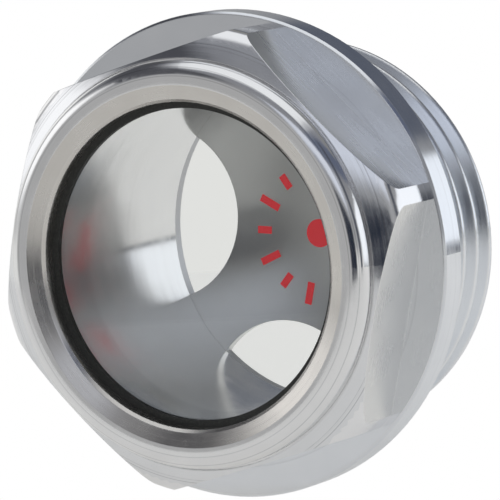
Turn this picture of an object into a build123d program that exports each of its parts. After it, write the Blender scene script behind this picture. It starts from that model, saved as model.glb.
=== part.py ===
# Screw-in oil sight glass for the wall of a tank or gearbox.
# The axis lies along Y: the window looks toward -Y and the thread points toward +Y, +Z is up.
# The origin is on the axis, in the plane of the flange face that seats on the tank wall.
# Names ending in _front are distances ahead of that seat, names ending in _back are behind it.
from math import cos, radians, sin, tan
import os

from build123d import *

os.makedirs("parts", exist_ok=True)

# Threaded neck: G 1, eleven turns to the inch
thread_r = 16.62
thread_depth = 1.475
thread_pitch = 2.309
thread_crest = 0.36
thread_flank = 27.5
thread_sink = 0.12
thread_start = 1.75
thread_root_r = thread_r - thread_depth
neck_back = 14.6
neck_edge = 0.25
lead_back = neck_back - 1.0
lead_over = 0.6
relief_r = thread_root_r - 0.145
relief_back = 2.3

# Bore, and the pocket in front of it for the glass and its two seals
neck_wall = 0.945
bore_r = thread_root_r - neck_wall
pocket_r = bore_r + 0.8
fit_gap = 0.1

# Rolled lip that holds the glass, measured across its section
lip_inner_r = bore_r - 0.9
lip_face_r = lip_inner_r + 1.4
lip_crest_r = lip_face_r + 0.45
lip_shoulder_r = lip_face_r + 0.9
lip_bend_r = lip_shoulder_r + 0.67
lip_outer_r = pocket_r + 1.6
lip_foot_r = lip_outer_r - 0.05

# Flange and hexagon, 34 mm across the flats
flange_t = 3.0
flange_front_edge = 0.2
flange_back_edge = 0.35
hex_flat_r = lip_outer_r + 0.4
hex_corner_r = hex_flat_r + 2.24
hex_turn = 15.6
hex_sides = 6
flange_r = hex_corner_r + 0.76
cone_angle = 28.0
cone_inner_r = lip_outer_r + 0.15

# Heights ahead of the seat, from the flange out to the crest of the lip
hex_t = 6.18
cone_front = flange_t + hex_t
cone_edge_front = cone_front - (hex_corner_r - cone_inner_r) * tan(radians(cone_angle))
corner_round = 1.6
corner_half = radians(90 - cone_angle) / 2
corner_run = corner_round * tan(corner_half)
corner_front = cone_edge_front - corner_run
corner_mid_r = hex_corner_r - corner_round * (1 - cos(corner_half))
corner_mid_front = corner_front + corner_round * sin(corner_half)
cone_outer_r = hex_corner_r - corner_run * cos(radians(cone_angle))
cone_outer_front = cone_edge_front + corner_run * sin(radians(cone_angle))
cone_crown = 0.04
cone_mid_r = (cone_inner_r + cone_outer_r) / 2
cone_mid_front = (cone_front + cone_outer_front) / 2 + cone_crown
lip_foot_front = cone_front - 0.33
lip_side_front = cone_front + 0.32
lip_bend_front = cone_front + 1.08
lip_face_front = cone_front + 1.44
lip_crest_front = cone_front + 1.49
lip_under_front = lip_face_front - 1.72
lip_tip = 1.0
lip_bevel = 0.25

# Seals and glass, stacked from the lip inward
front_seal_t = 0.5
front_seal_r = bore_r - 1.5
glass_t = 3.0
glass_edge = 0.3
rear_seal_t = 0.5
rear_seal_r = bore_r + fit_gap
insert_r = pocket_r - fit_gap
front_seal_front = lip_under_front - front_seal_t
glass_front = front_seal_front - glass_t
pocket_front = glass_front - rear_seal_t

# Reflector plate, let into the end of the neck, with two pairs of ports cut through its rim
plate_t = 1.0
plate_gap = 0.03
plate_seat_r = bore_r + 0.08
plate_r = plate_seat_r - plate_gap
plate_back = neck_back - plate_t
port_r = 7.6
port_circle_r = bore_r + 1.4
port_angles = (173.0, 255.0, 353.0, 75.0)

# Red print on the plate: a dot and six ticks on an arc round it
ink_t = 0.08
dot_r = 1.2
tick_circle_r = 5.3
tick_w = 0.62
tick_lengths = (1.9, 1.3, 1.9, 1.3, 1.9, 1.3)
tick_first = 256.0
tick_step = -26.4


def facing(back):
    """Plane across the axis, this far behind the seat, drawn as seen from the window side."""
    return Plane(origin=(0, back, 0), x_dir=(1, 0, 0), z_dir=(0, -1, 0))


def save(part, name):
    """Name a finished piece and write its STEP file."""
    part.part.label = name
    export_step(part.part, f"parts/{name}.step")


# ---- body: turned, with a milled hexagon, a cut thread and a rolled lip ----
with BuildLine() as thread_path:
    Helix(
        pitch=thread_pitch,
        height=lead_back + lead_over - thread_start,
        radius=thread_root_r,
        center=(0, thread_start, 0),
        direction=(0, 1, 0),
    )
thread_from = thread_path.line @ 0
crest_half = thread_crest / 2
foot_half = crest_half + (thread_depth + thread_sink) * tan(radians(thread_flank))

with BuildPart() as body:
    with BuildSketch(Plane.XY):
        with BuildLine():
            # underside, tip and sloping face of the lip
            Polyline(
                (lip_inner_r, -lip_under_front),
                (lip_inner_r, -lip_under_front - lip_tip),
                (lip_inner_r + lip_bevel, -lip_under_front - lip_tip - lip_bevel),
                (lip_face_r, -lip_face_front),
            )
            # rounded crest, then the outer shoulder
            ThreePointArc(
                (lip_face_r, -lip_face_front),
                (lip_crest_r, -lip_crest_front),
                (lip_shoulder_r, -lip_face_front),
            )
            ThreePointArc(
                (lip_shoulder_r, -lip_face_front),
                (lip_bend_r, -lip_bend_front),
                (lip_outer_r, -lip_side_front),
            )
            # foot groove, then the slightly crowned cone across the corners of the hexagon
            Polyline(
                (lip_outer_r, -lip_side_front),
                (lip_foot_r, -lip_foot_front),
                (cone_inner_r, -lip_foot_front),
                (cone_inner_r, -cone_front),
            )
            ThreePointArc(
                (cone_inner_r, -cone_front),
                (cone_mid_r, -cone_mid_front),
                (cone_outer_r, -cone_outer_front),
            )
            ThreePointArc(
                (cone_outer_r, -cone_outer_front),
                (corner_mid_r, -corner_mid_front),
                (hex_corner_r, -corner_front),
            )
            # corners of the hexagon, flange, neck and bore
            Polyline(
                (hex_corner_r, -corner_front),
                (hex_corner_r, -flange_t),
                (flange_r - flange_front_edge, -flange_t),
                (flange_r, -flange_t + flange_front_edge),
                (flange_r, -flange_back_edge),
                (flange_r - flange_back_edge, 0),
                (relief_r, 0),
                (relief_r, relief_back),
                (thread_root_r, relief_back),
                (thread_root_r, neck_back),
                (plate_seat_r, neck_back),
                (plate_seat_r, plate_back),
                (bore_r, plate_back),
                (bore_r, -pocket_front),
                (pocket_r, -pocket_front),
                (pocket_r, -lip_under_front),
                (lip_inner_r, -lip_under_front),
            )
        make_face()
    revolve(axis=Axis.Y)

    # six flats milled down to the face of the flange
    with BuildSketch(facing(-flange_t)):
        Circle(flange_r + flange_t)
        with Locations(Rotation(0, 0, hex_turn)):
            RegularPolygon(hex_flat_r, hex_sides, major_radius=False, mode=Mode.SUBTRACT)
    extrude(amount=lip_crest_front, mode=Mode.SUBTRACT)

    # one thread ridge wound round the neck
    with BuildSketch(Plane(origin=thread_from, x_dir=(0, 0, 1), z_dir=thread_path.line % 0)):
        with BuildLine():
            Polyline(
                (-thread_sink, -foot_half),
                (thread_depth, -crest_half),
                (thread_depth, crest_half),
                (-thread_sink, foot_half),
                close=True,
            )
        make_face()
    sweep(path=thread_path.line, is_frenet=True)

    # relief groove at the seat, lead cone that fades the thread out, and the broken end edge
    with BuildSketch(Plane.XY):
        with BuildLine():
            Polyline(
                (relief_r, 0),
                (flange_r, 0),
                (flange_r, relief_back),
                (relief_r, relief_back),
                close=True,
            )
        make_face()
        with BuildLine():
            Polyline(
                (flange_r, lead_back - (flange_r - relief_r)),
                (relief_r, lead_back),
                (relief_r, neck_back - neck_edge),
                (relief_r - neck_edge, neck_back),
                (relief_r - neck_edge, neck_back + thread_pitch),
                (flange_r, neck_back + thread_pitch),
                close=True,
            )
        make_face()
    revolve(axis=Axis.Y, mode=Mode.SUBTRACT)
save(body, "body")

# ---- front seal: flat rubber ring under the lip, its inner edge shows round the window ----
with BuildPart() as front_seal:
    with BuildSketch(facing(-front_seal_front)):
        Circle(insert_r)
        Circle(front_seal_r, mode=Mode.SUBTRACT)
    extrude(amount=front_seal_t)
save(front_seal, "front_seal")

# ---- glass: flat disc with ground edges ----
with BuildPart() as glass:
    with BuildSketch(facing(-glass_front)):
        Circle(insert_r)
    extrude(amount=glass_t)
    chamfer(glass.edges().filter_by(GeomType.CIRCLE), glass_edge)
save(glass, "glass")

# ---- rear seal: rubber ring between the glass and the floor of the pocket ----
with BuildPart() as rear_seal:
    with BuildSketch(facing(-pocket_front)):
        Circle(insert_r)
        Circle(rear_seal_r, mode=Mode.SUBTRACT)
    extrude(amount=rear_seal_t)
save(rear_seal, "rear_seal")

# ---- reflector plate: bright disc behind the oil, with ports that let the oil in ----
with BuildPart() as reflector:
    with BuildSketch(facing(neck_back)):
        Circle(plate_r)
        for angle in port_angles:
            with PolarLocations(port_circle_r, 1, start_angle=angle):
                Circle(port_r, mode=Mode.SUBTRACT)
    extrude(amount=plate_t)
save(reflector, "reflector")

# ---- red dot printed at the middle of the plate ----
with BuildPart() as dot:
    with BuildSketch(facing(plate_back)):
        Circle(dot_r)
    extrude(amount=ink_t)
save(dot, "mark_dot")

# ---- six red ticks printed on an arc round the dot ----
for index, length in enumerate(tick_lengths):
    with BuildPart() as tick:
        with BuildSketch(facing(plate_back)):
            with PolarLocations(tick_circle_r, 1, start_angle=tick_first + index * tick_step):
                Rectangle(length, tick_w)
        extrude(amount=ink_t)
    save(tick, f"mark_tick_{index + 1}")
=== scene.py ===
# %% [markdown]
# # Oil sight glass
# A screw-in window for the wall of a tank or gearbox. One bar of aluminium is turned and milled
# into a body with a rolled lip, a hexagon, a flange and a thread. A glass disc sits behind the lip
# on rubber seals, and a bright plate at the back of the bore throws light forward through the oil.
# The shapes come from the CAD frame, so this lesson is about finishes, light and the camera.

# %% Load the frame
import math

import bpy
from mathutils import Matrix, Vector


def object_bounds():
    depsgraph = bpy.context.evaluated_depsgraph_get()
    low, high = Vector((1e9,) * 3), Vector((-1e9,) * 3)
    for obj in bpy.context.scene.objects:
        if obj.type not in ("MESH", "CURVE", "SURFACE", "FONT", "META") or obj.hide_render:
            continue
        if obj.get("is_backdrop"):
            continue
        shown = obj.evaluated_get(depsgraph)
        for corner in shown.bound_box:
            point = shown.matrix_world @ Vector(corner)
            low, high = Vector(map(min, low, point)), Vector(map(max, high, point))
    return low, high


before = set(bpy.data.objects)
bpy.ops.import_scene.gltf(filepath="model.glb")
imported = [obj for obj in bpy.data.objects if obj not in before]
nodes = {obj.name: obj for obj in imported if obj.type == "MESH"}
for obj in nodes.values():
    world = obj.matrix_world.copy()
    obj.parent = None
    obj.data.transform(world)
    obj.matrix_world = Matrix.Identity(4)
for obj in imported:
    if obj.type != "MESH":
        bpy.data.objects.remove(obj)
cad_low, cad_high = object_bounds()
bpy.ops.object.select_all(action="DESELECT")
print("box in mm", [round(v * 1000, 2) for v in (*cad_low, *cad_high)])

# %% [markdown]
# ## The camera
# A small turned part is usually shot from a distance with a long lens, so that circles stay true
# ellipses and the near edge doesn't swell. Here it stands 30 degrees to the right of the axis and
# a little above. It could be aimed with a constraint, but a matrix built from three plain angles
# says exactly where it is.

# %% Camera
AZIMUTH, ELEVATION, ROLL = 30.18, 6.14, -3.54  # degrees
AIM = Vector((0.00153, -0.00207, 0.00036))  # near the middle of the part
DISTANCE = 0.3678  # metres from there
LENS, SENSOR = 324.0, 36.0  # mm
NEAR, FAR = 0.01, 20.0  # metres

az, el, roll = (math.radians(angle) for angle in (AZIMUTH, ELEVATION, ROLL))
level = math.cos(el)
to_camera = Vector((math.sin(az) * level, -math.cos(az) * level, math.sin(el)))
aimed = to_camera.to_track_quat("Z", "Y").to_matrix() @ Matrix.Rotation(roll, 3, "Z")
camera = bpy.data.objects.new("camera", bpy.data.cameras.new("camera"))
bpy.context.scene.collection.objects.link(camera)
camera.matrix_world = Matrix.Translation(AIM + to_camera * DISTANCE) @ aimed.to_4x4()
camera.data.lens, camera.data.sensor_width = LENS, SENSOR
camera.data.clip_start, camera.data.clip_end = NEAR, FAR
bpy.context.scene.camera = camera
print("camera at mm", [round(v * 1000, 1) for v in camera.matrix_world.translation])

# %% [markdown]
# ## Helpers for materials
# Colours are written as the hex values a painter would read off a screen, and one function turns
# them into the linear values that light is worked out in. Another adds a node, sets it and links
# it. Sockets go by name, or by number where names repeat: a Mix node has its factor at 0, numbers
# at 2 and 3, vectors at 4 and 5 and colours at 6 and 7, and the results of the three kinds at 0, 1
# and 2.

# %% Colour, node and material helpers
def linear(code):
    """A hex colour such as '#C0C2C4' as linear red, green, blue and a full alpha."""
    parts = [int(code[i : i + 2], 16) / 255 for i in (1, 3, 5)]
    light = [p / 12.92 if p <= 0.04045 else ((p + 0.055) / 1.055) ** 2.4 for p in parts]
    return (*light, 1.0)


def add(tree, kind, feeds=None, **settings):
    """Adds a node with these options. Each feed is a value, or the socket that drives it."""
    made = tree.nodes.new(kind)
    for name, value in settings.items():
        setattr(made, name, value)
    for name, value in (feeds or {}).items():
        if isinstance(value, bpy.types.NodeSocket):
            tree.links.new(value, made.inputs[name])
        else:
            made.inputs[name].default_value = value
    return made


def new_material(name):
    """An empty node material and its tree."""
    material = bpy.data.materials.new(name)
    material.use_nodes = True
    material.node_tree.nodes.clear()
    return material, material.node_tree


def dress(names, materials):
    """Gives CAD nodes these materials in place of their plain ones."""
    for name in names:
        slots = nodes[name].data.materials
        slots.clear()
        for material in materials:
            slots.append(material)


print("mid grey is", [round(v, 3) for v in linear("#808080")])

# %% [markdown]
# ## Edges
# A handled part has no truly sharp edge. Rounding them all in the mesh would mean new CAD, so a
# Bevel node rounds them in the shading, and where it bends the normal the metal is rubbed bright.

# %% Edge wear
FLANGE_FRONT, FLANGE_EDGE_R = 3.0, 19.6  # mm ahead of the seat, and from the axis
CORNER_KEPT = 0.8  # how sharp the inner corner stays
BEVEL_RAYS = 6
WEAR_START, WEAR_FULL = 0.995, 0.93  # cosines of how far the normal is bent: 6 and 22 degrees


def round_axis(tree):
    """A point's distance from the axis of the part, and its place along it."""
    whole = add(tree, "ShaderNodeTexCoord").outputs["Object"]
    split = add(tree, "ShaderNodeSeparateXYZ", {0: whole}).outputs
    flat = add(tree, "ShaderNodeCombineXYZ", {0: split["X"], 1: split["Z"]}).outputs[0]
    radius = add(tree, "ShaderNodeVectorMath", {0: flat}, operation="LENGTH").outputs["Value"]
    return radius, split["Y"]


def edge_wear(tree, rounding):
    """Rounds edges in the shading by this many mm. Returns that normal, and a mask of the edges."""
    size = {"Radius": rounding / 1000}
    bent = add(tree, "ShaderNodeBevel", size, samples=BEVEL_RAYS).outputs[0]
    true = add(tree, "ShaderNodeNewGeometry").outputs["Normal"]
    # nothing rubs the inner corner where the hexagon meets the flange, so it stays nearly sharp
    # for two roundings from the face of the flange
    radius, along = round_axis(tree)
    inside = {0: radius, 1: FLANGE_EDGE_R / 1000}
    inner = add(tree, "ShaderNodeMath", inside, operation="LESS_THAN").outputs[0]
    near = {0: along, 1: -FLANGE_FRONT / 1000, 2: 2 * rounding / 1000}
    corner = add(tree, "ShaderNodeMath", near, operation="COMPARE").outputs[0]
    sharp = add(tree, "ShaderNodeMath", {0: inner, 1: corner}, operation="MULTIPLY").outputs[0]
    kept = add(tree, "ShaderNodeMath", {0: sharp, 1: CORNER_KEPT}, operation="MULTIPLY").outputs[0]
    soft = add(tree, "ShaderNodeMix", {0: kept, 4: bent, 5: true}, data_type="VECTOR").outputs[1]
    pair = {0: soft, 1: true}
    same = add(tree, "ShaderNodeVectorMath", pair, operation="DOT_PRODUCT").outputs["Value"]
    wear = {"Value": same, "From Min": WEAR_START, "From Max": WEAR_FULL}
    return soft, add(tree, "ShaderNodeMapRange", wear).outputs[0]


bends = [round(math.degrees(math.acos(cosine)), 1) for cosine in (WEAR_START, WEAR_FULL)]
print("edges wear where the normal is bent by", bends, "degrees")

# %% [markdown]
# ## Bare aluminium
# Aluminium is a full metal: nearly white, a little cool, and everything it shows is a reflection.
# What makes it look machined is the cut. A lathe leaves a fine spiral, which the eye reads as
# rings, and a milling cutter leaves long parallel streaks. Both are drawn the same way here: noise
# is read at a place that doesn't change along the cut, then it moves the surface by a few
# thousandths of a millimetre and changes the gloss a little. Real cuts lie about 0.1 mm apart, too
# fine to show at this size, so they are drawn three to five times as coarse.

# %% Metal with cuts in it
FINE_CUTS, FINE_SHARE = 2.7, 0.45  # finer cuts lie between the main ones
CLOUDS = 300.0  # a metre, so each is about 3 mm across
NOISE_LOW, NOISE_HIGH = 0.38, 0.62  # where noise mostly lies
SCORE_START, SCORE_FULL = 0.6, 0.66  # only its peaks are scored
SCORED, WORN, WORN_ROUGHNESS = linear("#5E5F62"), linear("#F6F6F7"), 0.12
QUARTER_TURN = 0.25  # a whole turn is 1


def bare_aluminium(
    name, tones, place, cut, depth, roughness, spread, anisotropy=0.0, rounding=0.09, scored=0.0
):
    """Metal with cuts this many mm apart and deep. place says where on the metal they are read.

    Its colour runs between two tones, and its roughness varies by spread. anisotropy draws its
    highlights out across the cuts, rounding is the worn edge in mm, and scored is the strength of
    its score lines.
    """
    material, tree = new_material(name)
    where = place(tree, cut)
    main = {"Vector": where, "Scale": 1.0, "Detail": 2.0}
    coarse = add(tree, "ShaderNodeTexNoise", main).outputs[0]
    fine = add(tree, "ShaderNodeTexNoise", {**main, "Scale": FINE_CUTS}).outputs[0]
    cuts = add(tree, "ShaderNodeMix", {0: FINE_SHARE, 2: coarse, 3: fine}).outputs[0]
    # handling and storage leave a faint cloudiness
    whole = add(tree, "ShaderNodeTexCoord").outputs["Object"]
    clouds = {"Vector": whole, "Scale": CLOUDS, "Detail": 5.0}
    cloud = add(tree, "ShaderNodeTexNoise", clouds).outputs[0]
    soft, edges = edge_wear(tree, rounding)

    # gloss: rubbed edges are smoother than the faces between them
    noise = add(tree, "ShaderNodeMix", {0: 0.5, 2: cuts, 3: cloud}).outputs[0]
    ranges = {"From Min": NOISE_LOW, "From Max": NOISE_HIGH}
    ranges.update({"To Min": roughness - spread, "To Max": roughness + spread})
    gloss = add(tree, "ShaderNodeMapRange", {"Value": noise, **ranges}).outputs[0]
    rough = add(tree, "ShaderNodeMix", {0: edges, 2: gloss, 3: WORN_ROUGHNESS}).outputs[0]

    # colour: a chip caught under the tool scores a thin darker line here and there
    clouded = {0: cloud, 6: linear(tones[0]), 7: linear(tones[1])}
    clean = add(tree, "ShaderNodeMix", clouded, data_type="RGBA").outputs[2]
    lines = {"Value": coarse, "From Min": SCORE_START, "From Max": SCORE_FULL, "To Max": scored}
    scores = {0: add(tree, "ShaderNodeMapRange", lines).outputs[0], 6: clean, 7: SCORED}
    metal = add(tree, "ShaderNodeMix", scores, data_type="RGBA").outputs[2]
    rubbed = {0: edges, 6: metal, 7: WORN}
    tint = add(tree, "ShaderNodeMix", rubbed, data_type="RGBA").outputs[2]

    relief = {"Height": cuts, "Normal": soft, "Strength": 1.0, "Distance": depth / 1000}
    bump = add(tree, "ShaderNodeBump", relief).outputs[0]
    settings = {"Base Color": tint, "Metallic": 1.0, "Roughness": rough, "Normal": bump}
    if anisotropy:
        # the cuts lie along the tangent and the shader spreads light along it, so it is turned
        tangent = add(tree, "ShaderNodeTangent", direction_type="RADIAL", axis="Y").outputs[0]
        settings.update({"Anisotropic": anisotropy, "Anisotropic Rotation": QUARTER_TURN})
        settings["Tangent"] = tangent
    shader = add(tree, "ShaderNodeBsdfPrincipled", settings)
    add(tree, "ShaderNodeOutputMaterial", {"Surface": shader.outputs[0]})
    print(name, "- cuts drawn", cut, "mm apart")
    return material


print("clouds in the metal", round(1000 / CLOUDS, 1), "mm across")

# %% [markdown]
# ## Turned surfaces
# On a face the rings lie at different radii, on a cylinder at different depths along the axis.
# Reading the noise at (radius, depth along the axis) does both, and stays the same all the way
# round. The gloss spreads across the cuts more than along them, which is what the anisotropic
# setting is for. The lip is turned, then pressed round the glass by a hard roller, and the cone
# over the corners of the hexagon keeps its rings. One material could serve them all, but their
# gloss is what tells them apart, so each zone has a colour, a depth of cut and a roughness of its
# own.

# %% Turned finishes of the lip and the hexagon
def rings(tree, cut):
    """Where the rings of a turned surface are read, for rings this many mm apart."""
    radius, along = round_axis(tree)
    place = add(tree, "ShaderNodeCombineXYZ", {0: radius, 1: along}).outputs[0]
    size = {0: place, "Scale": 1000 / cut}
    return add(tree, "ShaderNodeVectorMath", size, operation="SCALE").outputs[0]


finish = {}
# cut with a fine feed and then rubbed by the rolling tool: soft, slightly warm
finish["lip_face"] = bare_aluminium(
    "turned_aluminium_lip_face", ("#CECAC5", "#E3E0DC"), rings,
    cut=0.4, depth=0.005, roughness=0.25, spread=0.07, anisotropy=0.3,
)
# pressed round by a roller, which burnishes it: the brightest metal on the part
finish["lip_bead"] = bare_aluminium(
    "burnished_aluminium_lip", ("#E9E9EA", "#F4F4F5"), rings,
    cut=0.5, depth=0.002, roughness=0.14, spread=0.05, anisotropy=0.3, scored=0.3,
)
# a deeper cut, with rings that show even at arm's length
finish["cone"] = bare_aluminium(
    "turned_aluminium_cone", ("#E2E3E6", "#F0F1F3"), rings,
    cut=0.35, depth=0.009, roughness=0.15, spread=0.06, anisotropy=0.5, scored=0.6,
)
finish["corner"] = bare_aluminium(
    "turned_aluminium_corner", ("#EEEEF0", "#F8F8F9"), rings,
    cut=0.4, depth=0.002, roughness=0.15, spread=0.05, anisotropy=0.4,
)

# %% [markdown]
# ## Flange, thread and bore
# The flange is cut smooth, because its face has to seal. The thread and the seat of the plate stay
# as the tool leaves them, and the bore is cut glossy, because it carries light to the window.

# %% Finishes of the flange, the thread and the bore
finish["flange"] = bare_aluminium(
    "turned_aluminium_flange", ("#DFE2E7", "#EEF0F4"), rings,
    cut=0.45, depth=0.0018, roughness=0.13, spread=0.05, anisotropy=0.4, scored=0.3,
)
# the crests and roots of a pipe thread are rounded, so each ridge carries its own streaks of light
finish["neck"] = bare_aluminium(
    "cut_aluminium_thread", ("#DFE4EC", "#F1F4F8"), rings,
    cut=0.4, depth=0.001, roughness=0.22, spread=0.04, anisotropy=0.3, rounding=0.3,
)
# bored out: a glossy wall with streaks of light running along it
finish["bore"] = bare_aluminium(
    "bored_aluminium_wall", ("#E6E6E7", "#F3F3F3"), rings,
    cut=0.35, depth=0.0022, roughness=0.16, spread=0.05, anisotropy=0.75,
)
# the step that the plate is pressed into: a plain facing cut, duller than the bore
finish["plate_seat"] = bare_aluminium(
    "faced_aluminium_seat", ("#B8B9BC", "#C6C7CA"), rings,
    cut=0.4, depth=0.0015, roughness=0.42, spread=0.05, anisotropy=0.3,
)

# %% [markdown]
# ## Milled flats
# The hexagon is milled with the side of a cutter, which leaves streaks square to the axis. Each
# runs the whole length of its flat, so the noise is stretched some ninety times in every direction
# but one.

# %% Milled finish
LONG_STREAKS = 25.0  # a metre, so each is 40 mm long


def streaks(tree, cut):
    """Where the streaks of a milled flat are read, for streaks this many mm apart."""
    whole = add(tree, "ShaderNodeTexCoord").outputs["Object"]
    stretch = {"Vector": whole, "Scale": (LONG_STREAKS, 1000 / cut, LONG_STREAKS)}
    return add(tree, "ShaderNodeMapping", stretch).outputs[0]


finish["flat"] = bare_aluminium(
    "milled_aluminium_flat", ("#DFDFDE", "#ECECEB"), streaks,
    cut=0.45, depth=0.008, roughness=0.3, spread=0.07,
)

# %% [markdown]
# ## Which finish goes where on the body
# The body is one piece of metal with several finishes, so its faces are sorted by where they lie:
# how far from the axis, how far ahead of the seat, and which way they look.

# %% Sort the body's faces
# mm from the axis, each a little past what it takes in
PLATE_SEAT_R, LIP_FACE_R, POCKET_R, LIP_FOOT_R, CONE_R = 14.3, 14.72, 15.2, 16.74, 18.3
FLAT_R, FLAT_SLACK = 17.0, 0.01
# mm ahead of the seat, each a little short of what begins there
LIP_FOOT, LIP_BACK, HEX_BACK, NECK_FRONT, PLATE_FRONT = 8.82, 8.8, 3.02, -0.4, -13.59
FACES_FRONT, ALONG_AXIS = -0.9, 0.02  # a normal's part along the axis


def body_finish(centre, normal):
    """The finish of the body at a face, from its middle and its direction."""
    radius, ahead = math.hypot(centre.x, centre.z) * 1000, -centre.y * 1000
    outward = normal.x * centre.x + normal.z * centre.z
    inward_or_front = outward < 0 or normal.y < FACES_FRONT
    if ahead < PLATE_FRONT and radius < PLATE_SEAT_R and inward_or_front:
        return "plate_seat"
    if ahead < LIP_BACK and (outward < 0 or ahead > 0 and radius < POCKET_R):
        return "bore"
    if ahead >= LIP_BACK and radius < LIP_FACE_R:
        return "lip_face"
    if ahead > LIP_FOOT and radius < LIP_FOOT_R:
        return "lip_bead"
    if ahead <= HEX_BACK:
        return "flange" if ahead > NECK_FRONT else "neck"
    if abs(normal.y) < ALONG_AXIS:
        off_axis = outward / math.hypot(normal.x, normal.z) * 1000
        return "flat" if abs(off_axis - FLAT_R) < FLAT_SLACK else "corner"
    return "corner" if radius > CONE_R else "cone"


names = sorted(finish)
dress(["body"], [finish[name] for name in names])
count = dict.fromkeys(names, 0)
for face in nodes["body"].data.polygons:
    name = body_finish(face.center, face.normal)
    face.material_index = names.index(name)
    count[name] += 1
print("faces per finish:", count)

# %% [markdown]
# ## Reflector plate
# A thin disc with a satin face. It is seen through the glass, so it should be quiet: an even grey
# that catches light without a sharp picture in it.

# %% Reflector finish
def specks(tree, cut):
    """Where the grain of a blasted face is read, the same in every direction."""
    whole = add(tree, "ShaderNodeTexCoord").outputs["Object"]
    size = {0: whole, "Scale": 1000 / cut}
    return add(tree, "ShaderNodeVectorMath", size, operation="SCALE").outputs[0]


satin = bare_aluminium(
    "satin_aluminium_reflector", ("#D0D0CF", "#DCDCDB"), specks,
    cut=0.3, depth=0.0003, roughness=0.3, spread=0.02,
)
dress(["reflector"], [satin])

# %% [markdown]
# ## Glass
# Clear float glass with polished faces. Light that only passes through to the inside is let by as
# if the disc were not there, so that the bore isn't left in a shadow that clear glass doesn't
# cast.

# %% Glass
float_glass, tree = new_material("clear_float_glass")
polished = {"Base Color": linear("#FDFEFD"), "Roughness": 0.0, "IOR": 1.5}
polished["Transmission Weight"] = 1.0
clear = add(tree, "ShaderNodeBsdfPrincipled", polished)
passing = add(tree, "ShaderNodeBsdfTransparent", {"Color": linear("#F4F8F6")})
is_shadow = add(tree, "ShaderNodeLightPath").outputs["Is Shadow Ray"]
mix = add(tree, "ShaderNodeMixShader", {0: is_shadow, 1: clear.outputs[0], 2: passing.outputs[0]})
add(tree, "ShaderNodeOutputMaterial", {"Surface": mix.outputs[0]})
dress(["glass"], [float_glass])
print("glass IOR", polished["IOR"])

# %% [markdown]
# ## Rubber seals
# Nitrile rubber, nearly black, with the dull bloom of a moulded face. Under the lip it stands a
# little proud, so it draws a thin dark line round the window.

# %% Seals
RUBBER_GRAIN = 6500.0  # a metre, so each speck is about 0.15 mm across
RUBBER_DEPTH = 0.00003
DUST_START, DUST_FULL = 0.45, 0.75  # only the peaks of the grain hold pale dust

rubber, tree = new_material("nitrile_rubber")
whole = add(tree, "ShaderNodeTexCoord").outputs["Object"]
fine = {"Vector": whole, "Scale": RUBBER_GRAIN, "Detail": 3.0}
grain = add(tree, "ShaderNodeTexNoise", fine).outputs[0]
peaks = {"Value": grain, "From Min": DUST_START, "From Max": DUST_FULL}
dust = add(tree, "ShaderNodeMapRange", peaks).outputs[0]
dusty = {0: dust, 6: linear("#1C1D1B"), 7: linear("#3A3B36")}
tint = add(tree, "ShaderNodeMix", dusty, data_type="RGBA").outputs[2]
relief = {"Height": grain, "Strength": 0.7, "Distance": RUBBER_DEPTH}
bump = add(tree, "ShaderNodeBump", relief).outputs[0]
moulded = {"Base Color": tint, "Roughness": 0.5, "IOR": 1.52, "Normal": bump}
shader = add(tree, "ShaderNodeBsdfPrincipled", moulded)
add(tree, "ShaderNodeOutputMaterial", {"Surface": shader.outputs[0]})
dress(["front_seal", "rear_seal"], [rubber])
print("seals:", rubber.name)

# %% [markdown]
# ## Red ink
# Pad-printed ink: a thin, even coat with a slight gloss, a touch uneven where the metal's grain
# shows. Behind the glass the print gets little light, so a weak red emission paints extra light
# onto it and keeps it clear.

# %% Ink
INK_PATCHES = 2600.0  # a metre, so each is about 0.4 mm across

ink, tree = new_material("red_printing_ink")
whole = add(tree, "ShaderNodeTexCoord").outputs["Object"]
patches = {"Vector": whole, "Scale": INK_PATCHES, "Detail": 3.0}
patchy = add(tree, "ShaderNodeTexNoise", patches).outputs[0]
reds = {0: patchy, 6: linear("#F00C20"), 7: linear("#FF1A30")}
tint = add(tree, "ShaderNodeMix", reds, data_type="RGBA").outputs[2]
printed_with_painted_glow = {"Base Color": tint, "Roughness": 0.5, "IOR": 1.45, "Specular IOR Level": 0.3}
# painted light: a weak red emission brightens the print behind the glass
printed_with_painted_glow.update({"Emission Color": tint, "Emission Strength": 0.3})
shader = add(tree, "ShaderNodeBsdfPrincipled", printed_with_painted_glow)
add(tree, "ShaderNodeOutputMaterial", {"Surface": shader.outputs[0]})
marks = [name for name in nodes if name.startswith("mark_")]
dress(marks, [ink])
print("printed marks:", len(marks))

# %% [markdown]
# ## Floor
# A pale sheet of paper. The camera sees it burnt out to pure white, as a catalogue shot is lit,
# while the metal sees the grey paper with a painted glow on it, brighter toward the back. The Light
# Path node tells the two kinds of ray apart.

# %% Floor
SHEET_R, SHEET_BACK, GAP = 0.15, 0.02, 0.0001  # metres
SHEET_CORNERS = 96
# painted light: the sheet glows as if lit from behind, and the glow fades toward the front
DIM_AT, BRIGHT_AT = -0.09, 0.03  # metres behind its middle
DIM, BRIGHT = 0.26, 0.41

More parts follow.
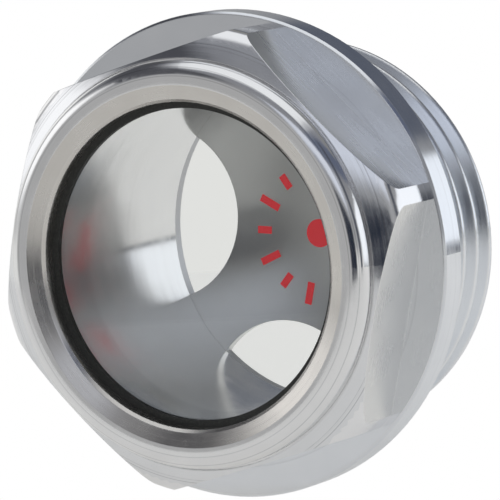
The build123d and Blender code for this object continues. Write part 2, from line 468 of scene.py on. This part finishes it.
middle = (0, SHEET_BACK, cad_low.z - GAP)
bpy.ops.mesh.primitive_circle_add(
    vertices=SHEET_CORNERS, radius=SHEET_R, fill_type="NGON", location=middle
)
floor = bpy.context.object
floor.name = "floor"
paper, tree = new_material("pale_paper")
# the paper's emission is painted light, fading from the back toward the front
whole = add(tree, "ShaderNodeTexCoord").outputs["Object"]
backward = add(tree, "ShaderNodeSeparateXYZ", {0: whole}).outputs["Y"]
painted_falloff = {"Value": backward, "From Min": DIM_AT, "From Max": BRIGHT_AT}
painted_falloff.update({"To Min": DIM, "To Max": BRIGHT})
painted_glow = add(tree, "ShaderNodeMapRange", painted_falloff).outputs[0]
lit = {"Base Color": linear("#E2E1DD"), "Roughness": 0.9}
lit.update({"Emission Color": linear("#FFFEFB"), "Emission Strength": painted_glow})
sheet = add(tree, "ShaderNodeBsdfPrincipled", lit)
white = add(tree, "ShaderNodeEmission", {"Color": linear("#FFFFFF"), "Strength": 1.0})
seen = add(tree, "ShaderNodeLightPath").outputs["Is Camera Ray"]
mix = add(tree, "ShaderNodeMixShader", {0: seen, 1: sheet.outputs[0], 2: white.outputs[0]})
add(tree, "ShaderNodeOutputMaterial", {"Surface": mix.outputs[0]})
floor.data.materials.append(paper)
floor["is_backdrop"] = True
print("floor at mm", round(floor.location.z * 1000, 2))

# %% [markdown]
# ## Studio
# Bare metal has no look of its own: it shows the room. So the room is drawn with care, as a
# photographer sets soft boxes and dark cards round a tent. Each is a soft-edged rectangle in the
# sky, laid over those before it. In the world's nodes, Generated is the direction of the ray.
# Lamps and real cards would do the same, with more noise and more to move about.

# %% One soft box or card
OWN_SIDE = 0.02  # a cosine, a little over nothing


def soft_box(tree, room, around, up, wide, high, edge, tone, strength):
    """Lays one rectangle of light or shade over the room so far, and returns the new room."""
    turn, lift = math.radians(around), math.radians(up)
    level = math.cos(lift)
    facing = Vector((math.sin(turn) * level, math.cos(turn) * level, math.sin(lift)))
    across = Vector((math.cos(turn), -math.sin(turn), 0.0))
    upward = across.cross(facing)
    look = add(tree, "ShaderNodeTexCoord").outputs["Generated"]
    pair = {0: look, 1: facing}
    ahead = add(tree, "ShaderNodeVectorMath", pair, operation="DOT_PRODUCT").outputs["Value"]
    # a rectangle shows only on its own side of the sky
    mask = add(tree, "ShaderNodeMath", {0: ahead, 1: OWN_SIDE}, operation="GREATER_THAN").outputs[0]
    for side, size in ((across, wide), (upward, high)):
        pair = {0: look, 1: side}
        aside = add(tree, "ShaderNodeVectorMath", pair, operation="DOT_PRODUCT").outputs["Value"]
        angle = add(tree, "ShaderNodeMath", {0: aside, 1: ahead}, operation="ARCTAN2").outputs[0]
        off = add(tree, "ShaderNodeMath", {0: angle}, operation="ABSOLUTE").outputs[0]
        edges = {
            "Value": off,
            "From Min": math.radians(size / 2 + edge / 2),
            "From Max": math.radians(max(size / 2 - edge / 2, 0.0)),
        }
        fade = add(tree, "ShaderNodeMapRange", edges, interpolation_type="SMOOTHSTEP").outputs[0]
        mask = add(tree, "ShaderNodeMath", {0: mask, 1: fade}, operation="MULTIPLY").outputs[0]
    light = (*(part * strength for part in linear(tone)[:3]), 1.0)
    return add(tree, "ShaderNodeMix", {0: mask, 6: room, 7: light}, data_type="RGBA").outputs[2]


reach = round(math.degrees(math.acos(OWN_SIDE)), 1)
print("a box or card shows up to", reach, "degrees from its middle")

# %% [markdown]
# ## The empty room
# Behind the boxes and cards stands the room itself, as a ramp of greys by height: a pale table up
# to the horizon, and grey walls that grow darker toward the ceiling.

# %% Room
world = bpy.data.worlds.new("studio")
bpy.context.scene.world = world
world.use_nodes = True
tree = world.node_tree
tree.nodes.clear()
look = add(tree, "ShaderNodeTexCoord").outputs["Generated"]
height = add(tree, "ShaderNodeSeparateXYZ", {0: look}).outputs["Z"]
span = {"Value": height, "From Min": -1.0, "From Max": 1.0}
ramp = add(tree, "ShaderNodeValToRGB", {0: add(tree, "ShaderNodeMapRange", span).outputs[0]})
# 0 is straight down, 0.5 the horizon and 1 straight up
table = ((0.0, "#DCDCD9"), (0.47, "#E6E6E4"))
walls = ((0.51, "#A4A5A6"), (0.72, "#8C8D90"), (0.9, "#84868C"))
stops = ramp.color_ramp.elements
for index, (place, tone) in enumerate(table + walls):
    stop = stops[index] if index < len(stops) else stops.new(place)
    stop.position, stop.color = place, linear(tone)
room = ramp.outputs[0]
print("greys in the room:", len(stops))

# %% [markdown]
# ## Boxes and cards
# Pale boxes give the metal its light, and the dark cards between them give it shape. Each row says
# where one stands (degrees round from straight behind the part, rightward, and degrees up), how
# wide, high and soft-edged it looks, also in degrees, then its tone and its strength.

# %% Soft boxes and cards
# around, up, wide, high, edge, tone, strength
boxes = (
    (0, 90, 60, 60, 10, "#F0F2F4", 1.0),  # ceiling box
    (-92, 46, 110, 20, 10, "#4C4D52", 1.0),  # dark card over the left boxes
    (105, 44, 150, 18, 8, "#606779", 1.0),  # dark card over the right side
    (0, 40, 70, 14, 8, "#868680", 1.0),  # grey card high behind
    (56, 7, 72, 24, 3, "#F6FAFF", 1.1),  # large box on the right, down to the edge of the table
    (50, -4.8, 80, 1.6, 1, "#5A5D64", 1.0),  # far edge of the table under it
    (-4, 27, 50, 12, 4, "#5B606C", 1.0),  # dark blue card straight behind
    (-62, 13, 34, 26, 10, "#FAFAF8", 1.0),  # box at the left, behind
    (-110, 15, 36, 24, 10, "#FFFFFF", 1.15),  # box at the left
    (-38, 18, 10, 34, 6, "#3E4044", 1.0),  # dark card at the inner edge of the left boxes
    (-155, -6, 66, 34, 14, "#ADADAD", 1.0),  # the dim room left of the camera
    (158, 24, 56, 18, 5, "#D8DDE8", 1.0),  # box above the camera
    (108, 8, 14, 84, 6, "#4A4E58", 1.0),  # tall dark card between it and the large box
    (161, -3.5, 36, 25, 3, "#272C38", 1.0),  # black card round the lens
)
for box in boxes:
    room = soft_box(tree, room, *box)
# the camera itself sees plain white past the part
seen = add(tree, "ShaderNodeLightPath").outputs["Is Camera Ray"]
past = {0: seen, 6: room, 7: linear("#FFFFFF")}
room = add(tree, "ShaderNodeMix", past, data_type="RGBA").outputs[2]
sky = add(tree, "ShaderNodeBackground", {"Color": room, "Strength": 1.0})
add(tree, "ShaderNodeOutputWorld", {"Surface": sky.outputs[0]})
bpy.context.scene.view_settings.view_transform = "Standard"
print("soft boxes and cards:", len(boxes))

# %% [markdown]
# ## Sizes
# The looks must not change the size of the part, so both boxes are measured and the growth is
# printed.

# %% Finish
low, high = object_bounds()
pairs = zip((*low, *high), (*cad_low, *cad_high))
print("grew by mm", [round((visual - cad) * 1000, 3) for visual, cad in pairs])
